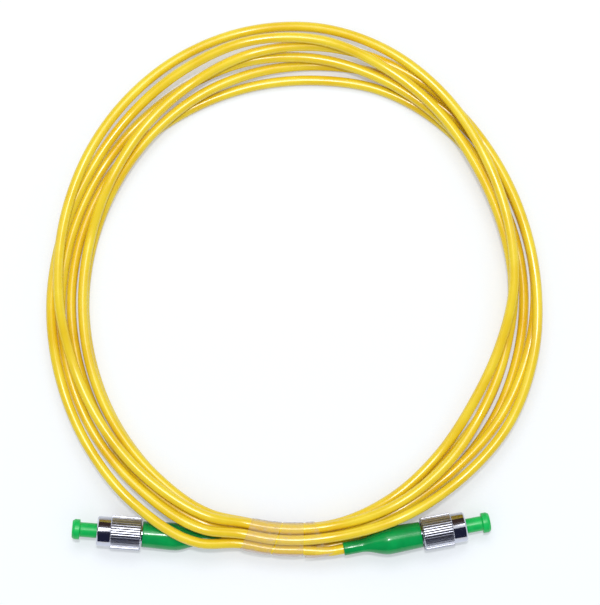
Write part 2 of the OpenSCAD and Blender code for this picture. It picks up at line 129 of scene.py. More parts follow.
class Socket:
    """One value in a node tree. Arithmetic on values adds Math nodes; node() adds any other node."""

    def __init__(self, tree, socket=None):
        self.tree = tree
        self.socket = socket

    def node(self, kind, settings=None, inputs=None, output=0):
        """Adds a node of that kind, with its settings and then its inputs, and gives one of its outputs."""
        made = self.tree.nodes.new(kind)
        for name, value in (settings or {}).items():
            if name == "stops":
                ramp = made.color_ramp.elements
                while len(ramp) < len(value):
                    ramp.new(0.5)
                for element, (at, colour) in zip(ramp, value):
                    element.position = at
                    element.color = (*colour, 1.0)
            else:
                setattr(made, name, value)
        for key, value in (inputs or {}).items():
            if isinstance(value, Socket):
                self.tree.links.new(value.socket, made.inputs[key])
            else:
                made.inputs[key].default_value = value
        return Socket(self.tree, made.outputs[output] if made.outputs else None)

    def math(self, operation, *values):
        return self.node("ShaderNodeMath", {"operation": operation}, dict(enumerate(values)))

    def __add__(self, other):
        return self.math("ADD", self, other)

    def __sub__(self, other):
        return self.math("SUBTRACT", self, other)

    def __rsub__(self, other):
        return self.math("SUBTRACT", other, self)

    def __mul__(self, other):
        return self.math("MULTIPLY", self, other)

    __radd__ = __add__
    __rmul__ = __mul__


def opaque(colour):
    """A colour with full alpha, as a colour socket wants it."""
    return (*colour, 1.0)


def mixed(s, factor, low, high):
    """The colour `low` turning to `high` as the factor goes from 0 to 1."""
    return s.node("ShaderNodeMix", {"data_type": "RGBA"}, {0: factor, 6: low, 7: high}, 2)


def between(s, value, low, high, to_low=0.0, to_high=1.0):
    """A value carried from one range to another, and held at that range's ends."""
    return s.node("ShaderNodeMapRange", {}, {0: value, 1: low, 2: high, 3: to_low, 4: to_high})


def stretched(s, coordinates, scale):
    """Coordinates scaled by a different amount along each axis."""
    return s.node("ShaderNodeMapping", {}, {"Vector": coordinates, "Scale": scale})


def noise(s, vector, scale, detail=2.0, roughness=0.5):
    """Noise about 0.5 at the given number of cells to the metre, or to the unit of `vector`."""
    return s.node(
        "ShaderNodeTexNoise", {}, {"Vector": vector, "Scale": scale, "Detail": detail, "Roughness": roughness}
    )


def place(s):
    """Object coordinates: metres in the frame, because every piece sits at the origin."""
    return s.node("ShaderNodeTexCoord", output=3)


def skin(s):
    """The piece's own map: a turn round it in U, and metres along it in V."""
    return s.node("ShaderNodeUVMap", {"uv_map": "skin"})


def relief(s, height, depth):
    """A normal tipped by a height that goes from 0 to 1 over `depth` metres."""
    return s.node("ShaderNodeBump", {}, {"Height": height, "Strength": 1.0, "Distance": depth})


def material(name, paint, **fixed):
    """A Principled material. paint(s) gives the inputs that vary; the fixed ones stay on the shader."""
    made = bpy.data.materials.new(name)
    made.use_nodes = True
    made.node_tree.nodes.clear()
    s = Socket(made.node_tree)
    inputs = {key.replace("_", " "): value for key, value in fixed.items()}
    shader = s.node("ShaderNodeBsdfPrincipled", {}, {**inputs, **paint(s)})
    s.node("ShaderNodeOutputMaterial", {}, {"Surface": shader})
    return made


# ---- Finishes ----

def jacket_finish(colour, shade):
    """Extruded PVC: faint lengthwise draw lines, soft mottling and a satin gloss."""
    def paint(s):
        blotch = noise(s, place(s), 90.0, 3.0)
        draw = noise(s, stretched(s, skin(s), (26.0, 14.0, 1.0)), 1.0, 3.0)
        grain = noise(s, place(s), 5200.0, 1.0)
        mottle = between(s, 0.7 * blotch + 0.3 * draw, 0.36, 0.64)
        return {
            "Base Color": mixed(s, mottle, opaque(shade), opaque(colour)),
            "Roughness": between(s, blotch, 0.3, 0.7, 0.2, 0.3),
            "Normal": relief(s, 0.7 * draw + 0.3 * grain, 0.00003),
        }
    return material("jacket_pvc", paint, IOR=1.5, Specular_IOR_Level=0.8)


def boot_finish(colour):
    """Glossy moulded elastomer: slight flow marks, fine orange peel and a parting line on each side."""
    def paint(s):
        flow = noise(s, stretched(s, skin(s), (3.0, 160.0, 1.0)), 1.0, 3.0)
        peel = noise(s, place(s), 1500.0, 2.0)
        around = s.node("ShaderNodeSeparateXYZ", {}, {0: skin(s)})
        off_line = s.math("ABSOLUTE", s.math("FRACT", around * 2.0) - 0.5)
        parting = between(s, off_line, 0.0, 0.012, 1.0, 0.0)
        dark = tuple(0.72 * c for c in colour)
        return {
            "Base Color": mixed(s, between(s, flow, 0.35, 0.65), opaque(dark), opaque(colour)),
            "Roughness": between(s, peel, 0.3, 0.7, 0.16, 0.25),
            "Normal": relief(s, 0.25 * peel + 0.12 * flow + parting, 0.00004),
        }
    return material("boot_elastomer", paint, IOR=1.5)


def cap_finish(colour):
    """Bright low-density plastic: a soft waxy gloss, faint flow lines and handling scuffs."""
    def paint(s):
        flow = noise(s, place(s), 420.0, 3.0)
        scuff = between(s, noise(s, stretched(s, skin(s), (9.0, 900.0, 1.0)), 1.0, 4.0), 0.58, 0.7)
        pale = tuple(0.75 * c + 0.08 for c in colour)
        base = mixed(s, between(s, flow, 0.35, 0.65), opaque(tuple(0.85 * c for c in colour)), opaque(colour))
        return {
            "Base Color": mixed(s, 0.3 * scuff, base, opaque(pale)),
            "Roughness": between(s, flow, 0.3, 0.7, 0.28, 0.38) + 0.1 * scuff,
            "Normal": relief(s, 0.6 * flow + 0.2 * scuff, 0.00003),
        }
    return material("cap_plastic", paint, IOR=1.5)


def plating_finish(colour):
    """Bright nickel on turned brass: lathe rings, clouding, duller rolled knurls and painted shade in the
    grooves.
    """
    def paint(s):
        rings = noise(s, stretched(s, skin(s), (1.5, 9000.0, 1.0)), 1.0, 2.0)
        cloud = noise(s, place(s), 650.0, 3.0)
        mask = s.node("ShaderNodeAttribute", {"attribute_name": "mask"}, output=2)
        rolled = between(s, mask, 0.0, 0.25)
        # Painted shade: the knurl grooves, and in part the inside of the nut, darken towards a tenth of the
        # plating's colour.
        groove_shade = between(s, mask + 0.3 * cloud, 0.6, 1.2)
        dull = tuple(0.1 * c for c in colour)
        warm = (colour[0] * 0.98, colour[1] * 0.92, colour[2] * 0.85)
        clean = mixed(s, between(s, cloud, 0.5, 0.75), opaque(colour), opaque(warm))
        return {
            "Base Color": mixed(s, groove_shade, clean, opaque(dull)),
            "Roughness": between(s, rings, 0.3, 0.7, 0.05, 0.12) + 0.06 * cloud + 0.22 * rolled + 0.1 * groove_shade,
            "Normal": relief(s, 0.5 * rings + 0.5 * cloud, 0.000006),
        }
    return material("nickel_plating", paint, Metallic=1.0)


def steel_finish():
    """Drawn stainless wire and pressed strip: fine marks along the draw."""
    def paint(s):
        marks = noise(s, stretched(s, place(s), (300.0, 2600.0, 2600.0)), 1.0, 2.0)
        return {
            "Base Color": mixed(s, marks, opaque((0.4, 0.4, 0.42)), opaque((0.62, 0.62, 0.63))),
            "Roughness": between(s, marks, 0.3, 0.7, 0.2, 0.38),
            "Normal": relief(s, marks, 0.000006),
        }
    return material("spring_steel", paint, Metallic=1.0)


def crimp_finish():
    """Plated copper sleeve, dulled and dented in fine facets where the tool closed on it."""
    def paint(s):
        dents = s.node("ShaderNodeTexVoronoi", {}, {"Vector": place(s), "Scale": 1400.0})
        cloud = noise(s, place(s), 900.0, 3.0)
        return {
            "Base Color": mixed(s, cloud, opaque((0.45, 0.42, 0.38)), opaque((0.68, 0.66, 0.63))),
            "Roughness": between(s, cloud, 0.3, 0.7, 0.3, 0.5),
            "Normal": relief(s, dents, 0.00002),
        }
    return material("crimp_metal", paint, Metallic=1.0)


def ceramic_finish():
    """Lapped zirconia: nearly white, glassy, with faint warm clouding."""
    def paint(s):
        cloud = noise(s, place(s), 1200.0, 3.0)
        return {
            "Base Color": mixed(s, cloud, opaque((0.86, 0.85, 0.8)), opaque((0.93, 0.93, 0.91))),
            "Roughness": between(s, cloud, 0.3, 0.7, 0.05, 0.1),
        }
    return material("zirconia", paint, IOR=2.1)


def yarn_finish():
    """Loose aramid filaments lying along the cord, in lighter and darker strands."""
    def paint(s):
        strand = noise(s, stretched(s, place(s), (500.0, 5200.0, 5200.0)), 1.0, 3.0)
        return {
            "Base Color": mixed(s, strand, opaque((0.52, 0.36, 0.08)), opaque((0.9, 0.76, 0.34))),
            "Roughness": between(s, strand, 0.3, 0.7, 0.5, 0.8),
            "Normal": relief(s, strand, 0.00006),
        }
    return material("aramid_yarn", paint)


def buffer_finish():
    """White tight buffer: smooth plastic with a faint draw along it."""
    def paint(s):
        draw = noise(s, stretched(s, place(s), (120.0, 3000.0, 3000.0)), 1.0, 2.0)
        return {
            "Base Color": mixed(s, draw, opaque((0.8, 0.8, 0.82)), opaque((0.92, 0.92, 0.94))),
            "Roughness": between(s, draw, 0.3, 0.7, 0.25, 0.35),
        }
    return material("fibre_buffer", paint)


def tape_finish(name, colour, lip, cover):
    """Clear film with a warm adhesive: milky where it has lifted, glossy, and creased across the wrap.

    Where nothing lies close behind it, a painted shade makes it greyer and less clear, standing for the
    shadowed
    floor seen through it: the mask is 0.25 at the bundle's sides, and 1 along the upper edge of the outer
    side.
    """
    def paint(s):
        cloud = noise(s, stretched(s, place(s), (500.0, 900.0, 900.0)), 1.0, 3.0)
        crease = noise(s, stretched(s, skin(s), (14.0, 180.0, 1.0)), 1.0, 3.0)
        side = s.node("ShaderNodeAttribute", {"attribute_name": "mask"}, output=2)
        lifted = between(s, cloud, 0.55, 0.7)
        veil = between(s, cloud, 0.3, 0.7, 0.75 * cover, 1.25 * cover) + 0.12 * lifted
        pale = tuple(0.5 * c + 0.4 for c in colour)
        body = mixed(s, 0.5 * lifted, opaque(colour), opaque(pale))
        # Painted shade: the lip colour, and more opacity, where the mask says that nothing lies behind the
        # film.
        return {
            "Base Color": mixed(s, between(s, side, 0.0, 0.25), body, opaque(lip)),
            "Roughness": between(s, cloud, 0.3, 0.7, 0.12, 0.26),
            "Alpha": s.math("MAXIMUM", veil, side * 0.6),
            "Normal": relief(s, 0.7 * crease + 0.3 * cloud, 0.00005),
        }
    return material(name, paint, IOR=1.45)


# ---- Meshes ----

def mesh_piece(name, rows, uv=None, closed=True, mask=None):
    """A mesh over a grid of points, shaped (rows, columns, 3), joined round its columns if `closed`.

    `uv` is shaped (rows, columns + 1, 2) on a closed grid, one column more than the points, so that the map
    doesn't fold back at the seam. `mask` is one number from 0 to 1 for each point, which the finish reads.
    """
    count, across = rows.shape[:2]
    steps = across if closed else across - 1
    i, j = np.meshgrid(np.arange(count - 1), np.arange(steps), indexing="ij")
    i, j = i.ravel(), j.ravel()
    below, beside = i + 1, (j + 1) % across
    faces = np.stack([i * across + j, i * across + beside, below * across + beside, below * across + j], 1)
    mesh = bpy.data.meshes.new(name)
    mesh.from_pydata(rows.reshape(-1, 3), [], faces)
    if uv is not None:
        layer = mesh.uv_layers.new(name="skin")
        low = np.stack([i, i, i + 1, i + 1], 1)
        side = np.stack([j, j + 1, j + 1, j], 1)
        layer.data.foreach_set("uv", uv[low, side].astype(np.float32).ravel())
    if mask is not None:
        layer = mesh.attributes.new("mask", "FLOAT", "POINT")
        layer.data.foreach_set("value", mask.astype(np.float32).ravel())
    piece = bpy.data.objects.new(name, mesh)
    bpy.context.scene.collection.objects.link(piece)
    return piece


def tidy(piece, angle=32.0):
    """Closes seams and poles, points the faces outwards and shades them smooth up to an angle."""
    work = bmesh.new()
    work.from_mesh(piece.data)
    bmesh.ops.remove_doubles(work, verts=work.verts, dist=1e-7)
    bmesh.ops.dissolve_degenerate(work, edges=work.edges, dist=1e-8)
    bmesh.ops.recalc_face_normals(work, faces=work.faces)
    work.to_mesh(piece.data)
    work.free()
    piece.data.shade_smooth()
    piece.data.set_sharp_from_angle(angle=math.radians(angle))
    return piece


def unit(v):
    """Vectors scaled to length 1 along their last axis."""
    return v / np.linalg.norm(v, axis=-1, keepdims=True)


def dress(piece, finish, body, slot, *nodes):
    """Gives a piece its material and body, and lets it stand for CAD nodes, which it hides. The slot is not
    used.
    """
    piece.data.materials.append(finish)
    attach(piece, body)
    if nodes:
        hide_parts(*nodes)
    return piece


def repaint(node, finish):
    """A CAD node keeps its mesh and takes another material."""
    materials = frame["nodes"][node].data.materials
    materials.clear()
    materials.append(finish)


# ---- Route of the cord ----

COIL_HALF = (73.5, 79.5)
JACKET_R = 1.5
PITCH = 3.6
COLUMN = PITCH * math.sqrt(3) / 2
CLIMB = 3.65
ROW_Z = 1.7
FLOOR_Z = 1.5
BUNDLE_LANE = 4.1
TAPE_FROM, TAPE_TO = 258.0, 278.0
NEAR_TAPE = 249.5
WRAPS = 3
FREE_RINGS = 20
LAST = FREE_RINGS + 1
FALL = 3.0
BRIDGE = {18: 8.0, 19: 10.2, 20: 9.0}
# The cord's seven passes through the tape: columns in from the bundle's middle, and pitches up
PASSES = [(-1, 0.5), (0, 1), (0, 0), (0, 2), (1, 0.5), (1, 1.5), (-1, 1.5)]
TURNS = len(PASSES) - 1
CLOCK = [300, 330, 360, 390, 420, 450, 480, 510, 540, 570, 600, 609.5]
# How far inside the reference oval each turn lies at those angles, in millimetres
LANES = [
    [3.2, 3.4, 4.6, 7.8, 12.4, 17.1, 15.6, 9.6, 6.2, 4.4, 2.8, 3.2],
    [4.9, 2.0, 1.2, 4.2, 8.0, 12.8, 13.9, 12.8, 10.2, 8.2, 5.6, 3.9],
    [7.5, 7.4, 8.0, 8.2, 10.6, 10.3, 9.2, 6.8, 3.4, 1.0, 1.4, 1.8],
    [2.4, -0.8, 1.2, 3.8, 5.2, 7.4, 10.0, 11.2, 10.0, 8.0, 6.7, 6.2],
    [9.6, 11.6, 8.4, 7.0, 3.4, 0.8, 1.0, 2.0, 3.0, 4.4, 5.4, 5.8],
    [7.0, 8.0, 8.2, 10.0, 8.4, 5.0, 5.2, 4.4, 0.8, -1.8, -3.0, -2.6],
]
# The turns from the lowest up: on the rings just after the tape, on the free ones, and just before the tape
PILE_AFTER = [0, 2, 4, 1, 5, 3]
PILE = [0, 1, 2, 3, 5, 4]
PILE_BEFORE = [1, 3, 0, 4, 2, 5]
PILE_AFTER_TO, PILE_TO = 2, 18
RING_ANGLE = np.concatenate([
    np.linspace(TAPE_TO, NEAR_TAPE + 360, FREE_RINGS + 1),
    TAPE_FROM + 360 + (TAPE_TO - TAPE_FROM) * np.arange(WRAPS) / WRAPS,
])
PIECE_STEPS = 8


def hermite(x, y, slope, at):
    """Cubics through knots (x, y) with the given slopes, blending both heights and slopes of each span."""
    i = np.clip(np.searchsorted(x, at, side="left") - 1, 0, len(x) - 2)
    h = x[i + 1] - x[i]
    t = (at - x[i]) / h
    u = 1 - t
    return (
        (1 + 2 * t) * u * u * y[i] + t * u * u * h * slope[i]
        + t * t * (3 - 2 * t) * y[i + 1] - t * t * u * h * slope[i + 1]
    )


def knot_slopes(x, y, first=0.0, last=0.0):
    """At each knot, the slopes of its two spans weighted by the other span's length."""
    h = np.diff(x)
    d = np.diff(y) / h
    return np.concatenate([[first], (d[:-1] * h[1:] + d[1:] * h[:-1]) / (h[:-1] + h[1:]), [last]])


def level_slopes(x, y):
    """Slopes that never overshoot: the harmonic mean of both spans, and 0 at a crest or a hollow."""
    d = np.diff(y) / np.diff(x)
    same = d[:-1] * d[1:] > 0
    mean = np.where(same, 2 * d[:-1] * d[1:] / np.where(same, d[:-1] + d[1:], 1.0), 0.0)
    return np.concatenate([[0.0], mean, [0.0]])


def oval_r(degrees):
    """Radius of the reference oval in the direction of an angle, in millimetres."""
    a = np.radians(degrees)
    return 1 / np.hypot(np.cos(a) / COIL_HALF[0], np.sin(a) / COIL_HALF[1])


def coil_middle():
    """Middle of the oval, which puts the middle of the taped bundle over the origin."""
    a = (TAPE_FROM + TAPE_TO) / 2
    r = oval_r(a) - BUNDLE_LANE
    return -r * math.cos(math.radians(a)), -r * math.sin(math.radians(a))


MIDDLE = coil_middle()


def on_coil(degrees, lane, z):
    """The point so far inside the oval, at an angle and a height: middle + (oval - lane) (cos, sin)."""
    degrees, lane, z = np.broadcast_arrays(*(np.asarray(v, float) for v in (degrees, lane, z)))
    a = np.radians(degrees)
    r = oval_r(degrees) - lane
    return np.stack([MIDDLE[0] + r * np.cos(a), MIDDLE[1] + r * np.sin(a), z], -1)


def pass_lane(k):
    return BUNDLE_LANE + PASSES[k][0] * COLUMN


def pass_z(k):
    return ROW_Z + PASSES[k][1] * PITCH


def half_ring_lanes():
    """Each turn's lane at every half ring, from the tape round to the tape."""
    at = np.interp(np.arange(2 * LAST + 1) / 2, np.arange(len(RING_ANGLE)), RING_ANGLE)
    knots = np.array([TAPE_TO, *CLOCK, RING_ANGLE[LAST]], float)
    found = []
    for k in range(TURNS):
        y = np.array([pass_lane(k), *LANES[k], pass_lane(k + 1)])
        found.append(hermite(knots, y, knot_slopes(knots, y), at))
    return np.array(found)


def heights(lanes):
    """Height of every turn at each ring: each lies on the turns below it, and falls no faster than it can."""
    laid = np.zeros((TURNS, LAST + 1))
    laid[:, 0] = [pass_z(k) for k in range(TURNS)]
    laid[:, LAST] = [pass_z(k + 1) for k in range(TURNS)]
    for i in range(1, LAST):
        order = PILE_AFTER if i <= PILE_AFTER_TO else PILE if i <= PILE_TO else PILE_BEFORE
        for n, k in enumerate(order):
            z = BRIDGE.get(i, FLOOR_Z) if k == TURNS - 1 else FLOOR_Z
            for j in order[:n]:
                gaps = lanes[k, 2 * i - 1:2 * i + 2] - lanes[j, 2 * i - 1:2 * i + 2]
                apart = 0.0 if gaps.min() < 0 < gaps.max() else np.abs(gaps).min()
                if apart < CLIMB:
                    z = max(z, laid[j, i] + math.sqrt(CLIMB ** 2 - apart ** 2))
            laid[k, i] = z
    rings = np.arange(LAST + 1)
    eased = np.max(laid[:, None, :] - FALL * np.abs(rings[:, None] - rings[None, :]), axis=2)
    eased[:, 0], eased[:, LAST] = laid[:, 0], laid[:, LAST]
    return eased


def route(diameter):
    """The cord's centreline in metres: exit, turns and exit, smoothed between the rings of its solid."""
    lanes = half_ring_lanes()
    z = heights(lanes)
    points = []
    for end in ENDS:
        to, axis, _ = END_FRAMES[end]
        points.append([to, to - diameter * axis])
    turns = [on_coil(RING_ANGLE[LAST:], pass_lane(0), pass_z(0))]
    for k in range(TURNS):
        turns.append(on_coil(RING_ANGLE[:LAST + 1], lanes[k, ::2], z[k]))
        turns.append(on_coil(RING_ANGLE[LAST + 1:], pass_lane(k + 1), pass_z(k + 1)))
    knots = np.concatenate([np.array(points[0]) / MM, *turns, np.array(points[1][::-1]) / MM])
    run = np.concatenate([[0], np.cumsum(np.linalg.norm(np.diff(knots, axis=0), axis=1))])
    at = np.interp(np.arange((len(knots) - 1) * PIECE_STEPS + 1) / PIECE_STEPS, np.arange(len(knots)), run)
    ends = [(knots[1] - knots[0]) / (run[1] - run[0]), (knots[-1] - knots[-2]) / (run[-1] - run[-2])]
    slopes = [knot_slopes(run, knots[:, c], ends[0][c], ends[1][c]) for c in (0, 1)]
    flat = [hermite(run, knots[:, c], slopes[c], at) for c in (0, 1)]
    return MM * np.stack([*flat, hermite(run, knots[:, 2], level_slopes(run, knots[:, 2]), at)], -1)


# ---- Stations along a connector, in millimetres from the cord's exit ----

BOOT_L = 23.6
BOOT_NECK_L = 5.2
BOOT_BELLY_AT = 14.0
BOOT_NECK_R, BOOT_BELLY_R, BOOT_END_R = 2.0, 4.15, 3.9
BOOT_BORE_R, BOOT_BORE_L = 1.6, 4.0
BOOT_MOUTH_R, BOOT_MOUTH_L = 2.75, 3.0
NUT_FROM, NUT_TO = 23.9, 37.2
KNURL_L = 9.2
NUT_FRONT_R = 4.45
NUT_BORE_R = 4.0
THREAD_R, THREAD_ROOT_R, THREAD_PITCH = 3.65, 3.98, 0.75
THREAD_FROM = 31.4
CLIP_FROM, CLIP_TO = 24.7, 25.4
GROOVE_R = 4.25
FERRULE_R, FERRULE_FROM, FERRULE_TO = 1.25, 28.6, 38.2
FERRULE_NOSE_R, POLISH_ANGLE = 0.75, 8.0
CAP_FROM, CAP_TO = 34.1, 44.6
CAP_STEM_R, CAP_FLANGE_R, CAP_FLANGE_T = 2.2, 3.05, 2.3
CAP_BORE_R = 1.275
FRAME_FROM, FRAME_TO = 25.6, 36.2
FLANGE_FROM, FLANGE_TO = 29.1, 30.3
LIP_FROM, LIP_TO = 31.7, 32.7
NECK_R, FLANGE_R, BARREL_R, FRAME_BORE_R = 3.1, 3.7, 2.95, 2.5
KEY_HALF, KEY_R, KEY_L = 1.0, 3.35, 4.0
SPRING_FROM, SPRING_TO = 20.825, 27.775
SPRING_R, SPRING_WIRE, SPRING_CURLS = 1.775, 0.45, 8
SPRING_SEAT = 0.6


def end_frame(end):
    """Exit point, axis and sideways direction of a connector, from the axis that its nut turns about."""
    turn = next(j for j in frame["joints"] if j["name"] == f"{end}_nut_turn")
    axis = unit(np.array(turn["axis"], float))
    side = unit(np.cross(UP, axis))
    return np.array(turn["pos_m"], float) - NUT_FROM * MM * axis, axis, side


END_FRAMES = {end: end_frame(end) for end in ENDS}


def at_end(end, points):
    """Points of a connector's own frame, in millimetres, set in place: exit + x down + y side + z axis."""
    to, axis, side = END_FRAMES[end]
    return to + MM * points @ np.array([np.cross(side, axis), side, axis])


def rounded(corners, steps=4):
    """A profile of (radius, station, fillet) corners, with an arc of the fillet's radius at each."""
    corners = np.array([(r, z, f) for r, z, f in corners], float)
    line, fillet = corners[:, :2], corners[:, 2]
    points = [line[:1]]
    for k in range(1, len(line) - 1):
        back, on = unit(line[k - 1] - line[k]), unit(line[k + 1] - line[k])
        half = math.acos(np.clip(back @ on, -1, 1)) / 2
        if fillet[k] <= 0 or half > math.radians(88):
            points.append(line[k:k + 1])
            continue
        middle = line[k] + unit(back + on) * fillet[k] / math.sin(half)
        start = line[k] + back * fillet[k] / math.tan(half) - middle
        stop = line[k] + on * fillet[k] / math.tan(half) - middle
        a0 = math.atan2(start[1], start[0])
        sweep = (math.atan2(stop[1], stop[0]) - a0 + math.pi) % (2 * math.pi) - math.pi
        a = a0 + sweep * np.linspace(0, 1, steps + 1)
        points.append(middle + fillet[k] * np.stack([np.cos(a), np.sin(a)], -1))
    points.append(line[-1:])
    return np.concatenate(points)


def lathe(name, end, profile, sides, shape=None, knurl_and_shade_mask=None):
    """A surface of revolution: (r cos a, r sin a, z) for each profile point and angle.

    shape(r, z, a) may give another radius and station for each point of the grid, as for knurls or a key, and
    the last function its mask, as for a nut's rolled knurls and the painted shade in its grooves.
    """
    a = 2 * math.pi * np.arange(sides) / sides
    r, z, turn = np.broadcast_arrays(profile[:, :1], profile[:, 1:], a[None, :])
    if shape:
        r, z = shape(r, z, turn)
    points = at_end(end, np.stack([r * np.cos(turn), r * np.sin(turn), z], -1))
    run = np.concatenate([[0], np.cumsum(np.linalg.norm(np.diff(profile, axis=0), axis=1))]) * MM
    u, v = np.broadcast_arrays(np.arange(sides + 1)[None, :] / sides, run[:, None])
    return tidy(mesh_piece(name, points, np.stack([u, v], -1), mask=knurl_and_shade_mask(r, z, turn) if knurl_and_shade_mask else None))


# ---- Pieces ----

def tube_mesh(name, centres, diameter, sides=20, side=None):
    """A tube: centre + radius (cos a sideways + sin a up), square to the centreline at every point.

    Sideways is level, unless `side` gives it for each point.
    """
    forward = unit(np.gradient(centres, axis=0))
    side = unit(np.cross(UP, forward)) if side is None else side
    above = np.cross(forward, side)
    a = 2 * math.pi * np.arange(sides) / sides - math.pi / 2
    ring = np.cos(a)[None, :, None] * side[:, None] + np.sin(a)[None, :, None] * above[:, None]
    run = np.concatenate([[0], np.cumsum(np.linalg.norm(np.diff(centres, axis=0), axis=1))])
    u, v = np.broadcast_arrays(np.arange(sides + 1)[None, :] / sides, run[:, None])
    tube = centres[:, None] + diameter / 2 * ring
    caps = [np.repeat(centre[None, None], sides, 1) for centre in (centres[0], centres[-1])]
    closed = np.concatenate([caps[0], tube, caps[1]])
    uv = np.stack([u, v], -1)
    return tidy(mesh_piece(name, closed, np.concatenate([uv[:1], uv, uv[-1:]])), 50.0)


def spring_mesh(end):
    """The ferrule's spring: r (cos 2 pi s, sin 2 pi s) at curl s, rising evenly between closed end curls."""
    curl = np.linspace(0, SPRING_CURLS, 24 * SPRING_CURLS + 1)
    dead = 1.15 * SPRING_WIRE
    stations = [SPRING_FROM, SPRING_FROM + dead, SPRING_TO - dead, SPRING_TO]
    rise = np.interp(curl, [0, 1, SPRING_CURLS - 1, SPRING_CURLS], stations)
    a = 2 * math.pi * curl
    out = np.stack([np.cos(a), np.sin(a), np.zeros_like(a)], -1)
    centre = np.stack([np.zeros_like(a), np.zeros_like(a), rise], -1)
    line = at_end(end, centre + SPRING_R * out)
    return tube_mesh(f"{end}_spring_wire", line, SPRING_WIRE * MM, 12, unit(line - at_end(end, centre)))


def outline(distance, bulge):
    """Outline round the bundle's six outer turns, as (sideways, up) and outward normals, from its underside.

    Each corner is an arc of that distance about a turn's centre, and straight film joins the arcs.
    `bulge` moves the arc of the upper outer turn outwards.
    """
    corners, arc = 6, 9
    k = np.arange(corners)
    centres = PITCH * np.stack([np.cos(np.radians(60 * k + 30)), np.sin(np.radians(60 * k + 30))], -1)
    centres[2, 0] -= bulge
    side = np.roll(centres, -1, axis=0) - centres
    normal = np.degrees(np.arctan2(-side[:, 0], side[:, 1]))
    points, normals = [], []
    for n in k:
        start = normal[n - 1]
        turn = (normal[n] - start) % 360
        a = np.radians(start + turn * np.linspace(0, 1, arc))
        out = np.stack([np.cos(a), np.sin(a)], -1)
        points.append(centres[n] + distance * out)
        normals.append(out)
    points, normals = np.concatenate(points), np.concatenate(normals)
    first = 4 * arc + arc // 2
    return np.roll(points, -first, axis=0), np.roll(normals, -first, axis=0)


def resampled(points, normals, count, overlap):
    """The closed outline walked evenly once round and a little more, with its normals."""
    loop = np.concatenate([points, points[:1]])
    out = np.concatenate([normals, normals[:1]])
    run = np.concatenate([[0], np.cumsum(np.linalg.norm(np.diff(loop, axis=0), axis=1))])
    at = np.linspace(0, 1 + overlap, count)
    walk = (at % 1.0) * run[-1]
    flat = np.stack([np.interp(walk, run, loop[:, c]) for c in (0, 1)], -1)
    nose = unit(np.stack([np.interp(walk, run, out[:, c]) for c in (0, 1)], -1))
    return flat, nose, at


FILM_R = JACKET_R + 0.1
WRAP_OVERLAP = 0.2
LAST_WRAP_BULGE = 0.6
# How milky each wrap is, from left to right
WRAP_COVERS = (0.15, 0.11, 0.04)
# Angle of each wrap's left and right end on the coil, at the bundle's outer side and at its inner side
WRAP_ENDS = [
    ((258.2, 259.5), (264.7, 266.8)),
    ((265.1, 267.1), (271.8, 272.2)),
    ((272.1, 272.5), (278.7, 274.8)),
]


def wrap_mesh(w, slack, film):
    """One wrap of tape round the bundle, lapped over itself, with slanted ends and slack on its outer side.

    For each step round and across it: the bundle's outline, moved out by the lap, by the slack that swells
    between the wrap's ends, and by small ripples, at an angle on the coil between those of the wrap's ends.
    """
    round_steps, across_steps = 150, 22
    bulge = LAST_WRAP_BULGE if w == WRAPS - 1 else 0.0
    flat, nose, at = resampled(*outline(FILM_R, bulge), round_steps, WRAP_OVERLAP)
    turn, over = np.meshgrid(at, np.linspace(-1, 1, across_steps), indexing="ij")
    outer = np.clip(-nose[:, :1], 0, 1) ** 2
    inner = np.clip(nose[:, :1], 0, 1) ** 4
    low = np.clip(-nose[:, 1:], 0, 1)
    stand = slack * (outer * (1 - low) + 0.5 * inner) * (1 - over ** 4)
    ripple = 0.035 * np.sin(5.0 * over + 19.0 * turn + 2.1 * w) * np.cos(31.0 * turn + 1.3 * w) * (1 - outer)
    lifted = stand + np.maximum(ripple, -0.02) + 1.7 * film * turn
    section = flat[:, None] + nose[:, None] * lifted[..., None]
    inward = np.clip(section[..., 0] / (2 * (COLUMN + FILM_R)) + 0.5, 0, 1)
    left, right = ((1 - inward) * out + inward * into for out, into in WRAP_ENDS[w])
    degrees = left + (right - left) * (over + 1) / 2
    points = on_coil(degrees, BUNDLE_LANE + section[..., 0], ROW_Z + PITCH + section[..., 1])
    uv = np.stack([turn, over * 5.0 * MM], -1)
    # The mask for the lip's painted shade: a quarter on the bundle's sides, and full on the upper edge of its
    # outer side.
    side = np.clip((np.abs(nose[:, :1]) - 0.8) / 0.15, 0, 1)
    edge = np.clip((-nose[:, :1] - 0.5) / 0.3, 0, 1) * np.clip((nose[:, 1:] - 0.1) / 0.2, 0, 1)
    lip = np.broadcast_to(np.maximum(0.25 * side, edge), turn.shape)
    piece = mesh_piece(f"tape_film_{w + 1}", MM * points, uv, closed=False, mask=lip)
    piece.data.shade_smooth()
    wall = piece.modifiers.new("film", "SOLIDIFY")
    wall.thickness = film * MM
    wall.offset = 1.0
    return piece


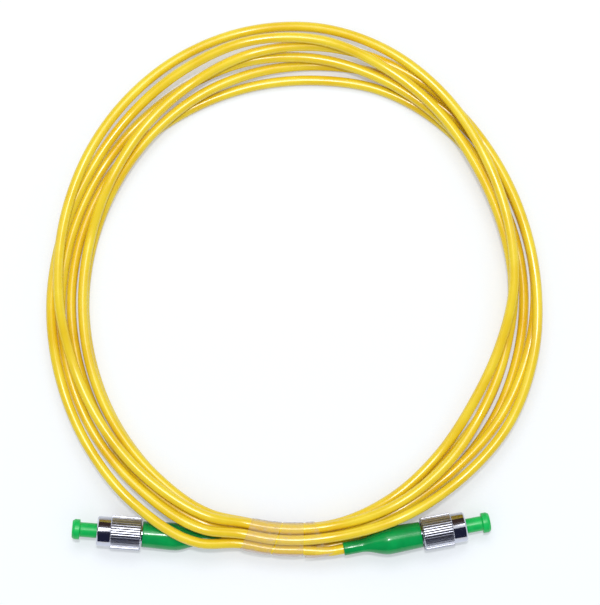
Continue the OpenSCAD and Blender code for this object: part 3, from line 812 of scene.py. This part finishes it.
def boot_profile():
    """The boot's skin: straight neck, cosine swelling to the belly, cosine draw-in, and its end bores."""
    swell = np.linspace(0, 1, 28)
    draw = np.linspace(0, 1, 14)[1:-1]
    rise = BOOT_NECK_R + (BOOT_BELLY_R - BOOT_NECK_R) * (1 - np.cos(math.pi * swell)) / 2
    fall = BOOT_BELLY_R - (BOOT_BELLY_R - BOOT_END_R) * (1 - np.cos(math.pi * draw)) / 2
    neck = rounded([
        (BOOT_BORE_R, BOOT_BORE_L, 0), (BOOT_BORE_R, 0.0, 0.15), (BOOT_NECK_R, 0.0, 0.2),
        (BOOT_NECK_R, BOOT_NECK_L - 0.6, 0),
    ])
    skirt = rounded([
        (BOOT_END_R, BOOT_L - 1.0, 0), (BOOT_END_R, BOOT_L, 0.25), (BOOT_MOUTH_R, BOOT_L, 0.15),
        (BOOT_MOUTH_R, BOOT_L - BOOT_MOUTH_L, 0),
    ])
    return np.concatenate([
        neck,
        np.stack([rise, BOOT_NECK_L + (BOOT_BELLY_AT - BOOT_NECK_L) * swell], -1),
        np.stack([fall, BOOT_BELLY_AT + (BOOT_L - BOOT_BELLY_AT) * draw], -1),
        skirt,
    ])


def nut_profile(outer):
    """The nut's closed section: knurled barrel, smooth front, mouth, thread, bore and the clip's groove."""
    knurl_to = NUT_FROM + KNURL_L
    barrel = rounded([
        (NUT_BORE_R, NUT_FROM + 0.5, 0), (NUT_BORE_R, NUT_FROM, 0.12), (outer - 0.45, NUT_FROM, 0.1),
        (outer, NUT_FROM + 0.45, 0.2), (outer, knurl_to - 0.25, 0.12), (outer - 0.25, knurl_to, 0.06),
        (NUT_FRONT_R, knurl_to, 0.08), (NUT_FRONT_R, NUT_TO - 0.4, 0.15), (NUT_FRONT_R - 0.35, NUT_TO, 0.15),
        (THREAD_R + 0.35, NUT_TO, 0.1), (THREAD_R, NUT_TO - 0.35, 0),
    ])
    threads = np.arange(NUT_TO - 0.4, THREAD_FROM, -THREAD_PITCH / 8)
    thread = np.stack([np.full_like(threads, THREAD_R), threads], -1)
    bore = np.array([
        (THREAD_R, THREAD_FROM), (NUT_BORE_R, THREAD_FROM), (NUT_BORE_R, CLIP_TO + 0.1),
        (GROOVE_R, CLIP_TO + 0.1), (GROOVE_R, CLIP_FROM - 0.1), (NUT_BORE_R, CLIP_FROM - 0.1),
        (NUT_BORE_R, NUT_FROM + 0.5),
    ])
    return np.concatenate([barrel, thread, bore])


def knurled(outer, count, depth):
    """The nut's shape and mask functions: grooves between rounded lands, a helical thread inside, and where
    shade is painted.
    """
    def groove(turn):
        """0 on a crowned land and 1 in the groove: the square of the way across it, and an eased step."""
        phase = np.abs((turn * count / (2 * math.pi)) % 1.0 - 0.5) * 2
        ease = np.clip((phase - 0.55) / 0.4, 0, 1)
        return 0.12 * phase * phase + 0.88 * ease * ease * (3 - 2 * ease)

    def shape(r, z, turn):
        floor = outer - depth * groove(turn)
        knurl = (z < NUT_FROM + KNURL_L + 0.01) & (r > NUT_FRONT_R + 0.05)
        r = np.where(knurl, np.minimum(r, floor), r)
        threaded = (r < THREAD_R + 0.01) & (z < NUT_TO - 0.36) & (z > THREAD_FROM + 0.05)
        phase = (z / THREAD_PITCH - turn / (2 * math.pi)) % 1.0
        cut = np.clip(1.15 - np.abs(phase - 0.5) * 2.6, 0, 1)
        return np.where(threaded, THREAD_R + (THREAD_ROOT_R - THREAD_R) * cut, r), z

    def knurl_and_shade_mask(r, z, turn):
        """0 on polished metal, 0.25 on a knurl's land, rising to 1 in its groove, and 0.6 inside the nut,
        both given painted shade.
        """
        outside = (z < NUT_FROM + KNURL_L - 0.1) & (r > NUT_FRONT_R)
        return np.where(outside, 0.25 + 0.75 * groove(turn), np.where(r < THREAD_ROOT_R + 0.05, 0.6, 0.0))

    return shape, knurl_and_shade_mask


def cap_profile():
    """The dust cap's closed section: grip flange, stem and the bore that holds the ferrule."""
    flange_at = CAP_TO - CAP_FLANGE_T
    return rounded([
        (0, CAP_TO, 0), (CAP_FLANGE_R - 0.5, CAP_TO, 0.3), (CAP_FLANGE_R, CAP_TO - 0.75, 0.5),
        (CAP_FLANGE_R, flange_at, 0.22), (CAP_STEM_R, flange_at, 0.3), (CAP_STEM_R, CAP_FROM, 0.2),
        (CAP_BORE_R, CAP_FROM, 0.1), (CAP_BORE_R, FERRULE_TO + 0.35, 0.1), (0, FERRULE_TO + 0.35, 0),
    ], 6)


def frame_profile():
    """The plug frame's closed section: neck, flange, barrel, mouth, the lip that stops the holder, bore."""
    return rounded([
        (FRAME_BORE_R, FRAME_FROM + 0.5, 0), (FRAME_BORE_R, FRAME_FROM, 0), (NECK_R, FRAME_FROM, 0),
        (NECK_R, FLANGE_FROM, 0), (FLANGE_R, FLANGE_FROM, 0.12), (FLANGE_R, FLANGE_TO, 0.12),
        (BARREL_R, FLANGE_TO, 0.05), (BARREL_R, FRAME_TO - KEY_L - 1.05, 0),
        (BARREL_R, FRAME_TO - KEY_L - 1.0, 0), (BARREL_R, FRAME_TO - 1.05, 0),
        (BARREL_R, FRAME_TO - 1.0, 0), (BARREL_R, FRAME_TO, 0.12),
        (FRAME_BORE_R, FRAME_TO, 0.1), (FRAME_BORE_R, LIP_TO, 0), (FERRULE_R + 0.05, LIP_TO, 0.05),
        (FERRULE_R + 0.05, LIP_FROM, 0.05), (FRAME_BORE_R, LIP_FROM, 0), (FRAME_BORE_R, FRAME_FROM + 0.5, 0),
    ])


def keyed(r, z, turn):
    """Raises the frame's barrel to the key's radius within half the key's width of its upper side."""
    along = (z > FRAME_TO - KEY_L - 1.01) & (z < FRAME_TO - 1.02)
    rising = along & (r > BARREL_R - 0.01) & (r < BARREL_R + 0.01)
    within = np.abs(r * np.sin(turn)) < KEY_HALF
    return np.where(rising & within & (np.cos(turn) < 0), KEY_R, r), z


def polished(r, z, turn):
    """Tips the ferrule's nose to the polishing angle."""
    slope = math.tan(math.radians(POLISH_ANGLE))
    nose = z > FERRULE_TO - 0.02
    return r, np.where(nose, z - slope * (FERRULE_NOSE_R + r * np.cos(turn)), z)


# ---- Stage, in metres ----

VIEW_MIDDLE = np.array([4.17, 70.93, 5.0]) * MM
VIEW_HEIGHT = 181.5 * MM
LAMP_AWAY = 0.9
FLOOR_REACH = 6.0
FLOOR_OWN_WHITE = 0.3
CARD_HEIGHT, CARD_REACH = 0.5, 4.0


# ---- Operators ----

class PATCHCORD_OT_stage(Operator):
    """Sets the camera over the coil, the pale floor and the lamps"""
    bl_idname = "patchcord.stage"
    bl_label = "Stage"

    def execute(self, context):
        settings = context.scene.patch_stage
        scene = context.scene
        scene.view_settings.view_transform = "Standard"
        camera = bpy.data.objects.new("camera", bpy.data.cameras.new("camera"))
        scene.collection.objects.link(camera)
        camera.data.lens = settings.lens
        away = VIEW_HEIGHT * settings.lens / camera.data.sensor_width
        camera.location = VIEW_MIDDLE + away * UP
        camera.data.clip_start, camera.data.clip_end = 0.01, 20.0
        scene.camera = camera
        self.floor()
        self.world(scene, settings.sky)
        self.lamp(scene, "softbox", 33.0, (0.45, 0.3), settings.softbox)
        self.lamp(scene, "strip", 13.0, (0.065, 0.05), settings.strip)
        self.card("card_far", 31.0, 84.0, (0.06, 0.034, 0.028))
        self.card("card_near", -84.0, 8.0, (0.02, 0.023, 0.05))
        return {"FINISHED"}

    def seen(self, s):
        """1 for rays from the eye, and for those that polished or clear surfaces send on, otherwise 0."""
        rays = ("Is Camera Ray", "Is Glossy Ray", "Is Transmission Ray")
        eye, glossy, clear = (s.node("ShaderNodeLightPath", output=name) for name in rays)
        return s.math("MINIMUM", eye + glossy + clear, 1.0)

    def floor(self):
        """A wide table that keeps the object's shadow: dull to the object, and white to the eye.

        A share of that white is the table's own, which makes the shadow paler.
        """
        corners = FLOOR_REACH * np.array([[[-1, -1, 0], [1, -1, 0]], [[-1, 1, 0], [1, 1, 0]]], float)
        table = mesh_piece("floor", corners, closed=False)
        made = bpy.data.materials.new("table_white")
        made.use_nodes = True
        made.node_tree.nodes.clear()
        s = Socket(made.node_tree)
        dull = s.node("ShaderNodeBsdfDiffuse", {}, {"Color": (0.52, 0.53, 0.55, 1)})
        white = s.node("ShaderNodeBsdfDiffuse", {}, {"Color": (0.955, 0.97, 1.0, 1)})
        own = s.node("ShaderNodeEmission", {}, {"Color": (1, 1, 1, 1), "Strength": 1.0})
        pale = s.node("ShaderNodeMixShader", {}, {0: FLOOR_OWN_WHITE, 1: white, 2: own})
        shown = s.node("ShaderNodeMixShader", {}, {0: self.seen(s), 1: dull, 2: pale})
        s.node("ShaderNodeOutputMaterial", {}, {"Surface": shown})
        table.data.materials.append(made)

    def world(self, scene, strength):
        """White all round: the set strength lights the object, and full white is what is seen."""
        sky = bpy.data.worlds.new("sky")
        sky.use_nodes = True
        sky.node_tree.nodes.clear()
        s = Socket(sky.node_tree)
        soft = s.node("ShaderNodeBackground", {}, {"Color": (0.85, 0.93, 1, 1), "Strength": strength})
        white = s.node("ShaderNodeBackground", {}, {"Color": (1, 1, 1, 1), "Strength": 1.0})
        shown = s.node("ShaderNodeMixShader", {}, {0: self.seen(s), 1: soft, 2: white})
        s.node("ShaderNodeOutputWorld", {}, {"Surface": shown})
        scene.world = sky

    def lamp(self, scene, name, tilt, span, power):
        """A rectangular lamp aimed at the tape, tipped from upright towards the coil's far side."""
        data = bpy.data.lights.new(name, "AREA")
        data.shape = "RECTANGLE"
        data.size, data.size_y = span
        data.energy = power
        lamp = bpy.data.objects.new(name, data)
        scene.collection.objects.link(lamp)
        towards = Vector((0.0, math.sin(math.radians(tilt)), math.cos(math.radians(tilt))))
        lamp.location = LAMP_AWAY * towards
        lamp.rotation_euler = towards.to_track_quat("Z", "Y").to_euler()

    def card(self, name, low, high, colour):
        """A dark card overhead that only polished surfaces show, between two tilts from upright."""
        near, far = (CARD_HEIGHT * math.tan(math.radians(tilt)) for tilt in (low, high))
        points = np.array([[[x, y, CARD_HEIGHT] for x in (-CARD_REACH, CARD_REACH)] for y in (near, far)])
        card = mesh_piece(name, points, closed=False)
        made = bpy.data.materials.new(name)
        made.use_nodes = True
        made.node_tree.nodes.clear()
        s = Socket(made.node_tree)
        dark = s.node("ShaderNodeEmission", {}, {"Color": opaque(colour), "Strength": 1.0})
        s.node("ShaderNodeOutputMaterial", {}, {"Surface": dark})
        card.data.materials.append(made)
        for ray in ("camera", "diffuse", "shadow", "transmission", "volume_scatter"):
            setattr(card, "visible_" + ray, False)


class PATCHCORD_OT_jacket(Operator):
    """Winds the jacketed cord from one boot to the other"""
    bl_idname = "patchcord.jacket"
    bl_label = "Jacket"

    def execute(self, context):
        settings = context.scene.patch_cord
        diameter = settings.diameter * MM
        centres = route(diameter)
        piece = tube_mesh("cord_jacket", centres, diameter)
        finish = jacket_finish(settings.colour, settings.shade)
        dress(piece, finish, "cable", "cord_jacket", "cord")
        for end in ENDS:
            repaint(f"{end}_jacket_tail", finish)
        return {"FINISHED"}


class PATCHCORD_OT_tape(Operator):
    """Wraps the bundle in three pieces of clear tape"""
    bl_idname = "patchcord.tape"
    bl_label = "Tape"

    def execute(self, context):
        settings = context.scene.patch_tape
        for w, cover in enumerate(WRAP_COVERS):
            finish = tape_finish(f"tape_{w + 1}", settings.colour, settings.lip, cover)
            piece = wrap_mesh(w, settings.slack, settings.film)
            dress(piece, finish, "cable", "clear_tape", f"tape_wrap_{w + 1}")
        return {"FINISHED"}


class PATCHCORD_OT_boots(Operator):
    """Turns the moulded boots"""
    bl_idname = "patchcord.boots"
    bl_label = "Boots"

    def execute(self, context):
        finish = boot_finish(context.scene.patch_connector.boot)
        for end in ENDS:
            piece = lathe(f"{end}_boot_skin", end, boot_profile(), 72)
            dress(piece, finish, "cable", "boot_elastomer", f"{end}_boot")
        return {"FINISHED"}


class PATCHCORD_OT_nuts(Operator):
    """Turns and knurls the coupling nuts"""
    bl_idname = "patchcord.nuts"
    bl_label = "Coupling nuts"

    def execute(self, context):
        settings = context.scene.patch_connector
        outer = settings.nut_diameter / 2
        finish = plating_finish(settings.metal)
        shape, knurl_and_shade_mask = knurled(outer, settings.knurls, settings.knurl_depth)
        for end in ENDS:
            piece = lathe(f"{end}_nut_body", end, nut_profile(outer), settings.knurls * 10, shape, knurl_and_shade_mask)
            dress(piece, finish, f"{end}_nut", "plated_brass", f"{end}_coupling_nut")
        return {"FINISHED"}


class PATCHCORD_OT_caps(Operator):
    """Moulds the dust caps"""
    bl_idname = "patchcord.caps"
    bl_label = "Dust caps"

    def execute(self, context):
        finish = cap_finish(context.scene.patch_connector.cap)
        for end in ENDS:
            piece = lathe(f"{end}_cap_body", end, cap_profile(), 72)
            dress(piece, finish, f"{end}_cap", "cap_plastic", f"{end}_dust_cap")
        return {"FINISHED"}


class PATCHCORD_OT_plugs(Operator):
    """Makes the plug frames and ferrules, and finishes what the boots and nuts hide"""
    bl_idname = "patchcord.plugs"
    bl_label = "Plugs"

    def execute(self, context):
        plating = plating_finish(context.scene.patch_connector.metal)
        ceramic = ceramic_finish()
        hidden = {
            "rear_body": plating, "ferrule_holder": plating, "crimp_sleeve": crimp_finish(),
            "aramid_yarn": yarn_finish(), "buffered_fibre": buffer_finish(),
        }
        steel = steel_finish()
        hidden["retaining_clip"] = steel
        stretch = np.array([[0, 0, SPRING_FROM + SPRING_SEAT], [0, 0, SPRING_TO - SPRING_SEAT]])
        ferrule = rounded([
            (0, FERRULE_FROM, 0), (FERRULE_R, FERRULE_FROM, 0.15), (FERRULE_R, FERRULE_TO - 0.45, 0.15),
            (FERRULE_NOSE_R, FERRULE_TO, 0.05), (0, FERRULE_TO, 0),
        ])
        for end in ENDS:
            body = lathe(f"{end}_frame_body", end, frame_profile(), 144, keyed)
            dress(body, plating, "cable", "plated_brass", f"{end}_plug_frame")
            nose = lathe(f"{end}_ferrule_body", end, ferrule, 64, polished)
            dress(nose, ceramic, f"{end}_ferrule", "zirconia", f"{end}_ferrule")
            spring = spring_mesh(end)
            spring.data.materials.append(steel)
            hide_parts(f"{end}_ferrule_spring")
            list(at_end(end, stretch))
            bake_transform(spring)
            for node, finish in hidden.items():
                repaint(f"{end}_{node}", finish)
        return {"FINISHED"}


class PATCHCORD_OT_declare(Operator):
    """Works out the cord's route and its left exit, and keeps neither"""
    bl_idname = "patchcord.declare"
    bl_label = "Cord facts"

    def execute(self, context):
        diameter = context.scene.patch_cord.diameter * MM
        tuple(END_FRAMES["left"][0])
        route(diameter)
        return {"FINISHED"}


class PATCHCORD_PT_panel(Panel):
    """Lists the pieces of the patch cord"""
    bl_idname = "PATCHCORD_PT_panel"
    bl_label = "Patch Cord"
    bl_space_type = "VIEW_3D"
    bl_region_type = "UI"
    bl_category = "Patch Cord"

    def draw(self, context):
        for operator in OPERATORS:
            self.layout.operator(operator.bl_idname)


SETTINGS = {
    "patch_cord": CordSettings,
    "patch_tape": TapeSettings,
    "patch_connector": ConnectorSettings,
    "patch_stage": StageSettings,
}
OPERATORS = (
    PATCHCORD_OT_stage, PATCHCORD_OT_jacket, PATCHCORD_OT_tape, PATCHCORD_OT_boots, PATCHCORD_OT_nuts,
    PATCHCORD_OT_caps, PATCHCORD_OT_plugs, PATCHCORD_OT_declare,
)


def register():
    for name, group in SETTINGS.items():
        bpy.utils.register_class(group)
        setattr(bpy.types.Scene, name, PointerProperty(type=group))
    for cls in (*OPERATORS, PATCHCORD_PT_panel):
        bpy.utils.register_class(cls)


def unregister():
    for cls in (PATCHCORD_PT_panel, *reversed(OPERATORS)):
        bpy.utils.unregister_class(cls)
    for name, group in SETTINGS.items():
        delattr(bpy.types.Scene, name)
        bpy.utils.unregister_class(group)


def main():
    register()
    for operator in OPERATORS:
        group, name = operator.bl_idname.split(".")
        getattr(getattr(bpy.ops, group), name)()


if __name__ == "__main__":
    main()
